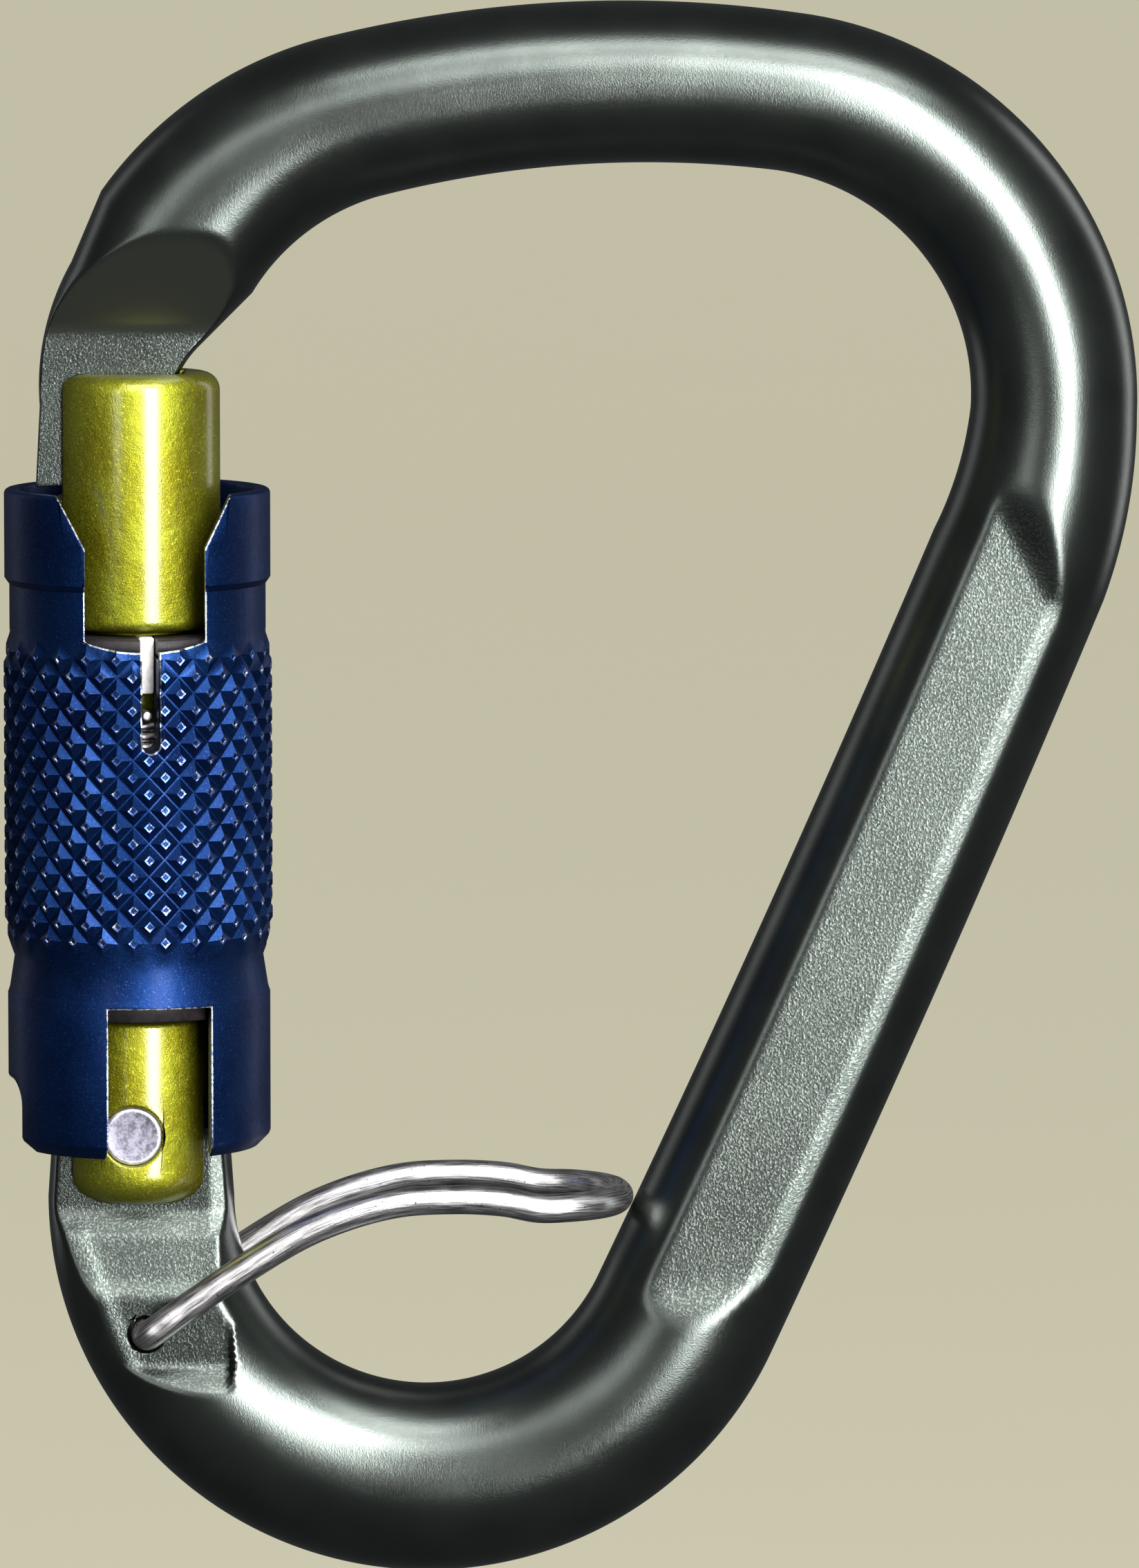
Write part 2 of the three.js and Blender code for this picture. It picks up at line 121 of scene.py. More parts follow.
HINGE_FLAT_EDGE_X = 6.7
TANG_BEVEL = {"x": 5.2, "width": 1.2, "slope": 0.19}
HINGE_LIP = {"height": 0.07, "width": 0.9}
HEEL_RADIUS = 5.4
KEEPER_HOLE = 1.35
RIVET_HOLE = 2.4

# Gate.
GATE_TOP = 54.9
HEAD_RADIUS = 6.0
HEAD_LOW = 36.5
STEM_RADIUS = 3.7
FOOT_RADIUS = 5.6
FOOT_TOP = 8.3
FOOT_LOW = -5.2
FOOT_ROUND = 2.3
SLOT_HALF_DEPTH = 2.8
TANG_SLOT_FLOOR = 45.9
TANG_SLOT_END_X = 3.4
FORK_SLOT_TOP = 7.2
SPRING_BORE = 1.95
SPRING_BORE_TOP = 25.0
RIVET_RADIUS = 2.1
RIVET_HALF_LENGTH = 5.3
PLUNGER_RADIUS = 1.6
PLUNGER_LOW = 6.1
PLUNGER_TOP = 12.0
GATE_SPRING = {"wire": 0.5, "radius": 1.35, "low": 12.6, "top": 24.4, "turns": 8}

# Sleeve. The knurl is a lattice of pyramids with small hollow tips.
SLEEVE_LOW = -1.2
SLEEVE_TOP = 46.5
SKIRT_RADIUS = 9.5
SKIRT_BORE = 8.15
SKIRT_ROOF = 11.0
LOW_GROOVE_RADIUS = (9.0, 9.35)  # under the knurl, and where it meets the skirt
KNURL_LOW = 13.35
KNURL_TOP = 36.05
KNURL_ROUND = 26
KNURL_HALF_ROWS = 19
KNURL_RADIUS = 9.7
KNURL_DEPTH = 0.45
KNURL_TIP = [(0.32, 0.0, 1), (0.19, 0.02, 1), (0.13, 0.09, 0)]  # half width, sunk by, slot
KNURL_GROOVE = 0.065
PLAIN_SIDES = 4  # sides of the plain bands for each half column of the knurl
HIGH_GROOVE_RADIUS = 9.25
COLLAR_LOW = 39.7
COLLAR_RADIUS = 9.6
COLLAR_BORE = 8.4
COLLAR_FLOOR = 34.8
SLEEVE_BORE = 5.3
NOTCH = {"angle": 6, "half": 4.3, "low": 36.1, "dip": 0.7, "flare": 1.9, "flare_high": 3.7}
KEY_SLOT = {"angle": 8, "half": 0.62, "low": 28.2}
LOW_WINDOW = {"angle": 12, "half": 3.75, "top": 9.7}
SIDE_WINDOW = {"angle": -90, "half": 4.5, "top": 3.9, "corner": 1.8}
HIGH_BUSH = {"bore": 4.1, "radius": 8.1, "low": 35.1, "top": 36.2}
LOW_BUSH = {"bore": 4.1, "radius": 7.9, "low": 8.6, "top": 10.7}
KEY = {"half": 0.5, "inner": 5.6, "outer": 6.4, "low": 32.2, "top": 36.25}
LOCK_SPRING = {"wire": 0.74, "radius": 4.4, "top": 30.4, "turns": 7, "reach": 6.6}

# Wire keeper: its front leg as [x, z] points, then a U at the tip.
KEEPER_WIRE = 2.1
KEEPER_GAP = 6.4
KEEPER_END_Y = 1.6
KEEPER_LEG = [(3.6, -12.3), (7.1, -9.9), (12.8, -6.55), (18.4, -4.75), (23.0, -4.42), (26.5, -4.6)]
KEEPER_TIP = {"x": 34.78, "z": -5.05, "corner": 5.8}

# ---- mesh helpers ----


def place(points):
    """Millimetres in the gate's coordinates to metres in the frame."""
    return np.asarray(points, float) * MM + np.array([AXIS_X, 0.0, RIVET_Z])


def make_object(name, points, faces, uvs=None, uv_name="along"):
    """A smooth mesh object. uvs, when given, holds one pair for each point."""
    mesh = bpy.data.meshes.new(name)
    mesh.from_pydata(place(points).tolist(), [], faces)
    if uvs is not None:
        layer = mesh.uv_layers.new(name=uv_name)
        corners = np.empty(len(mesh.loops), int)
        mesh.loops.foreach_get("vertex_index", corners)
        layer.data.foreach_set("uv", np.asarray(uvs, np.float32)[corners].ravel())
    mesh.shade_smooth()
    obj = bpy.data.objects.new(name, mesh)
    bpy.context.scene.collection.objects.link(obj)
    return obj


def face_outwards(obj):
    work = bmesh.new()
    work.from_mesh(obj.data)
    bmesh.ops.recalc_face_normals(work, faces=work.faces)
    work.to_mesh(obj.data)
    work.free()
    return obj


def ring_faces(rings, sides, capped=True, looped=False):
    """Quads between successive rings of points, and a polygon over each end."""
    faces = []
    for ring in range(rings if looped else rings - 1):
        a = ring * sides
        b = (ring + 1) % rings * sides
        for i in range(sides):
            j = (i + 1) % sides
            faces.append((a + i, a + j, b + j, b + i))
    if capped:
        faces.append(tuple(range(sides)))
        faces.append(tuple(range((rings - 1) * sides, rings * sides)))
    return faces


def turned(name, outline, sides):
    """An [r, z] outline turned about the gate's axis. It starts and ends on the axis,
    or it is a loop whose last point joins its first."""
    solid_inside = outline[0][0] == 0
    rim = outline[1:-1] if solid_inside else outline
    angles = np.linspace(0.0, 2 * math.pi, sides, endpoint=False)
    points = [
        (r * math.cos(angle), r * math.sin(angle), z) for r, z in rim for angle in angles
    ]
    faces = ring_faces(len(rim), sides, capped=False, looped=not solid_inside)
    if solid_inside:
        top = (len(rim) - 1) * sides
        points += [(0, 0, outline[0][1]), (0, 0, outline[-1][1])]
        for i in range(sides):
            j = (i + 1) % sides
            faces.append((j, i, len(points) - 2))
            faces.append((top + i, top + j, len(points) - 1))
    return face_outwards(make_object(name, points, faces))


def arc(centre, radius, start, end, steps=6):
    """Points of an arc in degrees, for rounding the corners of outlines."""
    angles = np.radians(np.linspace(start, end, steps + 1))
    return [(centre[0] + radius * math.cos(a), centre[1] + radius * math.sin(a)) for a in angles]


def block(name, outline, low_y, high_y):
    """An [x, z] outline made into a solid along Y."""
    points = [(x, y, z) for y in (low_y, high_y) for x, z in outline]
    return face_outwards(make_object(name, points, ring_faces(2, len(outline))))


def round_bar(name, radius, half_length, x, z, sides=72):
    angles = np.linspace(0.0, 2 * math.pi, sides, endpoint=False)
    outline = [(x + radius * math.cos(a), z + radius * math.sin(a)) for a in angles]
    return block(name, outline, -half_length, half_length)


def move_points(obj, change):
    """Runs change on the object's points, as rows of millimetres."""
    points = np.empty(len(obj.data.vertices) * 3)
    obj.data.vertices.foreach_get("co", points)
    points = (points.reshape(-1, 3) - place([0, 0, 0])) / MM
    obj.data.vertices.foreach_set("co", place(change(points)).ravel())
    obj.data.update()
    return obj


def turn_about_axis(obj, degrees):
    """Turns a piece drawn at the front about the gate's axis, towards +X."""
    c, s = math.cos(math.radians(degrees)), math.sin(math.radians(degrees))
    matrix = np.array([[c, s, 0], [-s, c, 0], [0, 0, 1]])
    return move_points(obj, lambda points: points @ matrix)


def lay_along_y(obj, x, z):
    """Lays a piece that was turned about the gate's axis along Y, through (x, z)."""

    def change(points):
        return np.column_stack([points[:, 0] + x, -points[:, 2], points[:, 1] + z])

    return move_points(obj, change)


def apply_modifiers(obj):
    graph = bpy.context.evaluated_depsgraph_get()
    mesh = bpy.data.meshes.new_from_object(obj.evaluated_get(graph))
    obj.modifiers.clear()
    obj.data = mesh
    return obj


def cut(obj, cutters, slot=0):
    """Cuts each cutter from the piece. The cut faces take the given material slot."""
    for cutter in cutters:
        cutter.data.polygons.foreach_set("material_index", [slot] * len(cutter.data.polygons))
        for material in obj.data.materials:
            cutter.data.materials.append(material)
        boolean = obj.modifiers.new("cut", "BOOLEAN")
        boolean.operation = "DIFFERENCE"
        boolean.solver = "EXACT"
        boolean.object = cutter
        apply_modifiers(obj)
        bpy.data.objects.remove(cutter)
    return obj


def bevel_weighted(obj, width, segments, edge_slot=-1):
    bevel = obj.modifiers.new("edges", "BEVEL")
    bevel.limit_method = "WEIGHT"
    bevel.width = width * MM
    bevel.segments = segments
    bevel.use_clamp_overlap = False
    bevel.material = edge_slot
    apply_modifiers(obj)
    obj.data.attributes.remove(obj.data.attributes["bevel_weight_edge"])
    return obj


def soften_edges(obj, width, keep_slots=(), angle=40, segments=2, edge_slot=-1):
    """Rounds sharp edges, except between two faces of the slots in keep_slots."""
    work = bmesh.new()
    work.from_mesh(obj.data)
    weight = work.edges.layers.float.new("bevel_weight_edge")
    for edge in work.edges:
        if len(edge.link_faces) != 2 or edge.calc_face_angle(0) < math.radians(angle):
            continue
        if any(face.material_index not in keep_slots for face in edge.link_faces):
            edge[weight] = 1.0
    work.to_mesh(obj.data)
    work.free()
    bevel_weighted(obj, width, segments, edge_slot)
    obj.data.set_sharp_from_angle(angle=math.radians(angle))
    return obj


def soft_min(a, b, radius):
    """The smaller of two depths, rounded over where they cross."""
    mix = np.clip(0.5 + 0.5 * (b - a) / radius, 0.0, 1.0)
    return b + (a - b) * mix - radius * mix * (1.0 - mix)


def soft_max(a, b, radius):
    return -soft_min(-a, -b, radius)


def smooth_path(points, step):
    """A centripetal Catmull-Rom curve through points, in steps of about the given length."""
    points = np.asarray(points, float)
    points = np.vstack([2 * points[0] - points[1], points, 2 * points[-1] - points[-2]])
    result = []
    for p0, p1, p2, p3 in zip(points, points[1:], points[2:], points[3:]):
        t0 = 0.0
        t1 = t0 + math.sqrt(np.linalg.norm(p1 - p0))
        t2 = t1 + math.sqrt(np.linalg.norm(p2 - p1))
        t3 = t2 + math.sqrt(np.linalg.norm(p3 - p2))
        count = max(2, round(np.linalg.norm(p2 - p1) / step))
        for t in np.linspace(t1, t2, count, endpoint=False):
            a1 = ((t1 - t) * p0 + (t - t0) * p1) / (t1 - t0)
            a2 = ((t2 - t) * p1 + (t - t1) * p2) / (t2 - t1)
            a3 = ((t3 - t) * p2 + (t - t2) * p3) / (t3 - t2)
            b1 = ((t2 - t) * a1 + (t - t0) * a2) / (t2 - t0)
            b2 = ((t3 - t) * a2 + (t - t1) * a3) / (t3 - t1)
            result.append(((t2 - t) * b1 + (t - t1) * b2) / (t2 - t1))
    result.append(points[-2])
    return np.array(result)


def wire(name, path, diameter, sides):
    """Round wire along a path, with its ends turned over. Its UVs run round and along."""
    tangents = np.gradient(path, axis=0)
    tangents /= np.linalg.norm(tangents, axis=1)[:, None]
    side = np.cross(tangents[0], [0.31, 0.52, 0.79])
    side /= np.linalg.norm(side)
    lengths = np.r_[0, np.cumsum(np.linalg.norm(np.diff(path, axis=0), axis=1))]
    radius = diameter / 2
    rings = []
    for centre, tangent, length in zip(path, tangents, lengths):
        side = side - tangent * (side @ tangent)
        side /= np.linalg.norm(side)
        rings.append((centre, side, np.cross(tangent, side), radius, length))
    ends = []
    for turn in (75, 50, 25):
        shrink = math.cos(math.radians(turn)) * 0.35 + 0.65
        reach = 0.35 * radius * math.sin(math.radians(turn))
        ends.append((shrink, reach))
    for shrink, reach in reversed(ends):
        for at, direction in ((0, -1), (-1, 1)):
            centre, across, up, _, length = rings[at]
            tangent = np.cross(across, up)
            tip = (path[at] + direction * tangent * reach, across, up, radius * shrink, length)
            rings.insert(0 if at == 0 else len(rings), tip)
    points, uvs = [], []
    for centre, across, up, size, length in rings:
        for i in range(sides):
            angle = 2 * math.pi * i / sides
            points.append(centre + size * (math.cos(angle) * across + math.sin(angle) * up))
            uvs.append((abs(2 * i / sides - 1), length))
    return face_outwards(make_object(name, points, ring_faces(len(rings), sides), uvs))


# ---- colours ----

BODY_DARK = (0.042, 0.051, 0.045)
BODY_LIGHT = (0.058, 0.069, 0.061)
BODY_GRAIN = (0.115, 0.125, 0.118)
BODY_SCOOP = (0.098, 0.106, 0.086)
GATE_DARK = (0.172, 0.160, 0.005)
GATE_LIGHT = (0.225, 0.238, 0.014)
SLEEVE_DARK = (0.0018, 0.0115, 0.057)
SLEEVE_LIGHT = (0.004, 0.021, 0.088)
BARE_ALUMINIUM = (0.62, 0.63, 0.66)
STEEL_DARK = (0.34, 0.33, 0.33)
STEEL_LIGHT = (0.68, 0.66, 0.66)
BACKDROP_GLOW = (0.498, 0.475, 0.358)

# ---- material helpers ----


class Shader:
    """A node material being put together."""

    def __init__(self, name):
        self.material = bpy.data.materials.new(name)
        self.material.use_nodes = True
        self.tree = self.material.node_tree
        self.tree.nodes.clear()
        self.output = self.tree.nodes.new("ShaderNodeOutputMaterial")

    def add(self, kind, output=0, inputs=None, **settings):
        """Adds a node. Inputs are numbers, colours, or outputs of other nodes."""
        node = self.tree.nodes.new("ShaderNode" + kind)
        for name, value in settings.items():
            setattr(node, name, value)
        for name, value in (inputs or {}).items():
            if isinstance(value, bpy.types.NodeSocket):
                self.tree.links.new(value, node.inputs[name])
            elif isinstance(value, tuple) and len(value) == 3 and node.inputs[name].type == "RGBA":
                node.inputs[name].default_value = (*value, 1.0)
            else:
                node.inputs[name].default_value = value
        return node.outputs[output]

    def place_in_object(self):
        return self.add("TexCoord", "Object")

    def noise(self, size_mm, detail=2.0, vector=None, roughness=0.5):
        vector = vector or self.place_in_object()
        values = {"Vector": vector, "Scale": 1 / (size_mm * MM), "Detail": detail, "Roughness": roughness}
        return self.add("TexNoise", inputs=values)

    def ramp(self, value, low, high, from_low=0.0, from_high=1.0):
        """Maps a value from one range to another, smoothly and without overshoot."""
        values = {"Value": value, 1: low, 2: high, 3: from_low, 4: from_high}
        return self.add("MapRange", inputs=values, interpolation_type="SMOOTHSTEP")

    def mix(self, factor, a, b):
        return self.add("Mix", 2, {0: factor, 6: a, 7: b}, data_type="RGBA")

    def math(self, operation, a, b=0.0):
        return self.add("Math", inputs={0: a, 1: b}, operation=operation)

    def bump(self, height, depth_mm, normal=None):
        values = {"Height": height, "Strength": 1.0, "Distance": depth_mm * MM}
        if normal:
            values["Normal"] = normal
        return self.add("Bump", inputs=values)

    def edges(self, low, high):
        """0 on flats and in hollows, 1 on outer edges."""
        return self.ramp(self.add("NewGeometry", "Pointiness"), low, high)

    def finish(self, inputs):
        self.tree.links.new(self.add("BsdfPrincipled", inputs=inputs), self.output.inputs[0])
        return self.material


def anodised(name, dark, light, grain_mm, grain_depth, roughness, coat):
    """Bead-blasted, dyed aluminium: fine grain under a smoother clear glaze. Its sparkle is painted: bright
    specks in its colour are painted glints.
    """
    s = Shader(name)
    grain = s.noise(grain_mm, 3.0, roughness=0.65)
    # painted glints: bright specks mixed into the colour, standing in for light glinting off the grain
    painted_glint = s.ramp(s.noise(grain_mm * 1.4, 1.0), 0.60, 0.76)
    colour = s.mix(s.ramp(s.noise(5.0, 3.0), 0.3, 0.7), dark, light)
    bright = tuple(2.2 * channel + 0.01 for channel in light)
    colour = s.mix(s.math("MULTIPLY", painted_glint, 0.6), colour, bright)
    rough = s.ramp(grain, 0.3, 0.7, roughness - 0.07, roughness + 0.09)
    normal = s.bump(s.noise(grain_mm * 6, 2.0), grain_depth * 1.5, s.bump(grain, grain_depth))
    glaze = s.bump(grain, grain_depth * 0.15)
    return s.finish({
        "Base Color": colour, "Metallic": 0.95, "Roughness": rough, "Normal": normal,
        "Coat Weight": coat, "Coat Roughness": 0.17, "Coat IOR": 1.6, "Coat Normal": glaze,
    })


def forged_body(name):
    """Dyed forging: satin on the round bar, coarse bright grain on its flats, and a smooth
    scoop at the nose. The mesh's marks say which is where."""
    s = Shader(name)
    uv = s.add("UVMap", uv_map="marks")
    flat = s.add("SeparateXYZ", "X", {"Vector": uv})
    scoop = s.add("SeparateXYZ", "Y", {"Vector": uv})
    coarse_flat = s.math("SUBTRACT", flat, scoop)
    coarse = s.noise(0.19, 3.0, roughness=0.6)
    fine = s.noise(0.12, 3.0, roughness=0.65)
    colour = s.mix(s.ramp(s.noise(5.0, 3.0), 0.3, 0.7), BODY_DARK, BODY_LIGHT)
    speck = s.ramp(coarse, 0.48, 0.62)
    grain = s.math("MULTIPLY", speck, s.ramp(coarse_flat, 0.0, 1.0, 0.06, 0.7))
    colour = s.mix(grain, colour, BODY_GRAIN)
    colour = s.mix(scoop, colour, BODY_SCOOP)
    rough = s.ramp(coarse_flat, 0.0, 1.0, 0.26, 0.25)
    rough = s.math("ADD", rough, s.math("MULTIPLY", scoop, 0.06))
    smooth = s.math("SUBTRACT", 1.0, scoop)
    fine_bump = s.bump(s.math("MULTIPLY", fine, smooth), 0.012)
    normal = s.bump(s.math("MULTIPLY", coarse, coarse_flat), 0.026, fine_bump)
    return s.finish({
        "Base Color": colour, "Metallic": 0.95, "Roughness": rough, "Normal": normal,
        "Coat Weight": s.ramp(coarse_flat, 0.0, 1.0, 0.45, 0.04), "Coat Roughness": 0.22,
        "Coat IOR": 1.6, "Coat Normal": normal,
    })


def bare_edge(name, tint, wear):
    """Aluminium where the dye has partly worn off. More wear leaves less of the tint."""
    s = Shader(name)
    scratch = s.noise(0.35, 4.0, roughness=0.7)
    colour = s.mix(s.ramp(scratch, 0.62 - wear, 0.84 - wear), tint, BARE_ALUMINIUM)
    return s.finish({
        "Base Color": colour, "Metallic": 0.95, "Roughness": s.ramp(scratch, 0.3, 0.7, 0.26, 0.46),
        "Normal": s.bump(s.noise(0.12, 2.0), 0.006),
    })


def drawn_wire(name):
    """Bright drawn steel wire, with fine streaks along it."""
    s = Shader(name)
    uv = s.add("UVMap", uv_map="along")
    fine = s.add("Mapping", inputs={"Vector": uv, "Scale": (34.0, 0.5, 1.0)})
    broad = s.add("Mapping", inputs={"Vector": uv, "Scale": (7.0, 0.12, 1.0)})
    streak = s.add("TexNoise", inputs={"Vector": fine, "Scale": 1.0, "Detail": 4.0})
    band = s.add("TexNoise", inputs={"Vector": broad, "Scale": 1.0, "Detail": 2.0})
    both = s.math("ADD", s.math("MULTIPLY", streak, 0.6), s.math("MULTIPLY", band, 0.4))
    colour = s.mix(s.ramp(both, 0.38, 0.62), STEEL_DARK, STEEL_LIGHT)
    speck = s.ramp(s.noise(0.25, 3.0), 0.66, 0.74)
    colour = s.mix(speck, colour, (0.08, 0.07, 0.07))
    return s.finish({
        "Base Color": colour, "Metallic": 1.0, "Roughness": s.ramp(streak, 0.3, 0.7, 0.28, 0.42),
        "Normal": s.bump(streak, 0.008, s.bump(s.noise(0.2, 2.0), 0.006)),
    })


def spring_steel(name):
    s = Shader(name)
    colour = s.mix(s.ramp(s.noise(0.3, 3.0), 0.35, 0.7), (0.42, 0.38, 0.36), (0.80, 0.76, 0.74))
    return s.finish({
        "Base Color": colour, "Metallic": 1.0, "Roughness": 0.38,
        "Normal": s.bump(s.noise(0.15, 2.0), 0.006),
    })


def struck_steel(name):
    """The rivet's head: flat, mottled grey where the tool pressed it, with a painted highlight lightening its
    outer edges.
    """
    s = Shader(name)
    mottle = s.noise(0.42, 5.0, roughness=0.68)
    colour = s.mix(s.ramp(mottle, 0.36, 0.62), (0.16, 0.155, 0.19), (0.28, 0.27, 0.33))
    # painted highlight: the head's outer edges are lightened in colour, standing in for light catching its
    # rim
    rim = s.edges(0.505, 0.54)
    colour = s.mix(rim, colour, (0.75, 0.73, 0.73))
    return s.finish({
        "Base Color": colour, "Metallic": 0.9, "Roughness": s.ramp(mottle, 0.3, 0.7, 0.34, 0.55),
        "Normal": s.bump(mottle, 0.012, s.bump(s.noise(0.1, 2.0), 0.006)),
    })


def moulded(name, dark, light, roughness):
    s = Shader(name)
    grain = s.noise(0.09, 2.0)
    colour = s.mix(s.ramp(s.noise(0.8, 3.0), 0.35, 0.65), dark, light)
    return s.finish({
        "Base Color": colour, "Roughness": s.ramp(grain, 0.3, 0.7, roughness - 0.08, roughness + 0.08),
        "Specular IOR Level": 0.25, "Normal": s.bump(grain, 0.01),
    })


def backdrop_paint(name):
    s = Shader(name)
    paint = s.mix(s.ramp(s.noise(60.0, 2.0), 0.3, 0.7), (0.150, 0.144, 0.106), (0.154, 0.148, 0.109))
    return s.finish({
        "Base Color": paint, "Roughness": 0.95, "Specular IOR Level": 0.0,
        "Emission Color": BACKDROP_GLOW, "Emission Strength": 1.0,
    })


def finish_piece(obj, node, body, materials=()):
    """Puts a piece in its CAD node's place."""
    for material in materials:
        obj.data.materials.append(material)
    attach(obj, body)
    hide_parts(node)
    return obj


# ---- body ----


def body_stations():
    """Rows of x, z, heading, width and run along the centreline. The shaped ends are finer."""
    x, z, heading, width = NOSE["x"], NOSE["z"], math.radians(NOSE["heading"]), NOSE["width"]
    lengths = [size * math.radians(turn) if turn else size for size, turn, _ in STRETCHES]
    total = sum(lengths)
    run = 0.0
    rows = [(x, z, heading, width, run)]
    for (size, turn, end_width), length in zip(STRETCHES, lengths):
        shaped = run < 20 or run + length > total - 25
        spacing = FINE_SPACING if shaped else PLAIN_SPACING
        steps = max(2, round(length / spacing))
        start_x, start_z, start_heading, start_width = x, z, heading, width
        for i in range(1, steps + 1):
            part = i / steps
            width = start_width + (end_width - start_width) * part
            if turn:
                heading = start_heading - math.radians(turn) * part
                x = start_x - size * (math.sin(heading) - math.sin(start_heading))
                z = start_z + size * (math.cos(heading) - math.cos(start_heading))
            else:
                x = start_x + size * part * math.cos(start_heading)
                z = start_z + size * part * math.sin(start_heading)
            rows.append((x, z, heading, width, run + length * part))
        run += length
    return np.array(rows)


def beyond(line, x, z):
    """How far points lie past a slanting line, given as two (x, z) points, to its left."""
    (x0, z0), (x1, z1) = line
    length = math.hypot(x1 - x0, z1 - z0)
    return ((x1 - x0) * (z - z0) - (z1 - z0) * (x - x0)) / length


def nose_limit(z):
    """Half depth of the nose: a flat tang, then a scoop that slopes out to the full bar."""
    slope = (HALF_DEPTH - TANG_HALF_DEPTH) / (NOSE_SCOOP_Z - NOSE_FOLD_Z)
    return soft_max(TANG_HALF_DEPTH, TANG_HALF_DEPTH + slope * (z - NOSE_FOLD_Z), 0.3)


def spine_limit(x, z, across, run, total):
    """Half depth at the spine's flats, which fall away along their outer side."""
    top = beyond(SPINE_FLAT_TOP, x, z) * SPINE_END_SLOPES[0]
    low = -beyond(SPINE_FLAT_LOW, x, z) * SPINE_END_SLOPES[1]
    far = np.maximum(total * 0.36 - run, run - total * 0.745) * 0.3
    ends = soft_max(soft_max(top, low, 0.05), soft_max(far, 0.0, 0.05), 0.05)
    bevel = SPINE_BEVEL["slope"] * np.maximum(across - SPINE_BEVEL["across"], 0)
    return SPINE_FLAT + ends - bevel


def hinge_limit(x, z):
    """Half depth of the hinge end: the tang, a hollowed flat below it and the keeper's seat."""
    heights, depths = zip(*HINGE_PROFILE)
    limit = sum(np.interp(z + shift, heights, depths) for shift in (-0.16, 0.0, 0.16)) / 3
    tang_bevel = np.clip(x - TANG_BEVEL["x"], 0, TANG_BEVEL["width"]) * TANG_BEVEL["slope"]
    tang_bevel = tang_bevel * np.clip((z + 7.6) / 0.6, 0, 1)
    left_edge = -5.04 - (z + 5.7) * 0.4
    lip = HINGE_LIP["height"] * np.clip(1 - (x - left_edge) / HINGE_LIP["width"], 0, 1)
    lip = lip * np.clip((-6.6 - z) / 0.8, 0, 1)
    return limit - tang_bevel + lip + np.maximum(x - HINGE_FLAT_EDGE_X, 0.0) * 4


def body_depth_limit(x, z, across, run, total):
    """The half depth that the nose, the spine's flats and the hinge end are cut down to."""
    nose = nose_limit(z) + np.where(run < NOSE_REACH, 0.0, 99.0)
    spine = spine_limit(x, z, across, run, total)
    hinge = hinge_limit(x, z) + np.where(run > total - HINGE_REACH, 0.0, 99.0)
    return np.minimum(np.minimum(nose, spine), hinge)


def heel_rings(last):
    """Rings that close the hinge end with a half-round heel about the rivet."""
    x0, z0, heading, width, run = last
    rows = []
    for z in np.arange(z0 + FINE_SPACING, RIVET_X + 0.01, FINE_SPACING):
        part = (z - z0) / (0 - z0)
        half = width / 2 + (HEEL_RADIUS - width / 2) * part
        rows.append((x0 + (RIVET_X - x0) * part, z, heading, 2 * half, run + z - z0))
    for turn in np.radians(np.arange(3, 90, 3)):
        rows.append((RIVET_X, HEEL_RADIUS * math.sin(turn), heading,
                     2 * HEEL_RADIUS * math.cos(turn), run - z0))
    return np.array(rows)


def make_body(material):
    stations = body_stations()
    total = stations[-1, 4]
    stations = np.vstack([stations, heel_rings(stations[-1])])
    x, z, heading, width, run = (column[:, None] for column in stations.T)
    angles = np.linspace(0.0, 2 * math.pi, BODY_SIDES, endpoint=False)[None, :]
    boxy = 0.35 * np.clip(1 - run / 30, 0, 1)
    cosine = np.sign(np.cos(angles)) * np.abs(np.cos(angles)) ** (1 - boxy)
    across = width / 2 * cosine
    px = x - np.sin(heading) * across
    pz = z + np.cos(heading) * across
    end_slope = np.clip(1 - run / 4, 0, 1) * (px - NOSE["x"]) * TANG_END_SLOPE
    depth = HALF_DEPTH * np.sign(np.sin(angles)) * np.abs(np.sin(angles)) ** (1 - boxy)
    limit = body_depth_limit(px, pz, across, run + 0 * px, total)
    flat = np.clip((np.abs(depth) - limit) / 0.35, 0, 1)
    scoop = flat * np.clip((pz - NOSE_FOLD_Z + 0.4) / 0.8, 0, 1) * (run < NOSE_REACH)
    depth = np.sign(depth) * soft_min(np.abs(depth), limit, 0.22)
    depth = np.where(np.abs(np.sin(angles)) < 1e-9, 0.0, depth)
    points = np.stack([px, depth + 0 * px, pz + end_slope], axis=2).reshape(-1, 3)
    faces = ring_faces(len(stations), BODY_SIDES)
    marks = np.stack([flat, scoop], axis=2).reshape(-1, 2)
    body = face_outwards(make_object("body", points, faces, marks, "marks"))
    body.data.materials.append(material)
    cutters = [
        round_bar("rivet_hole", RIVET_HOLE, 12, RIVET_X, 0),
        round_bar("keeper_hole", KEEPER_HOLE, 12, KEEPER_X, KEEPER_Z),
    ]
    cut(body, cutters)
    soften_edges(body, 0.08, angle=48)
    finish_piece(body, "frame_body", "root")


# ---- gate ----


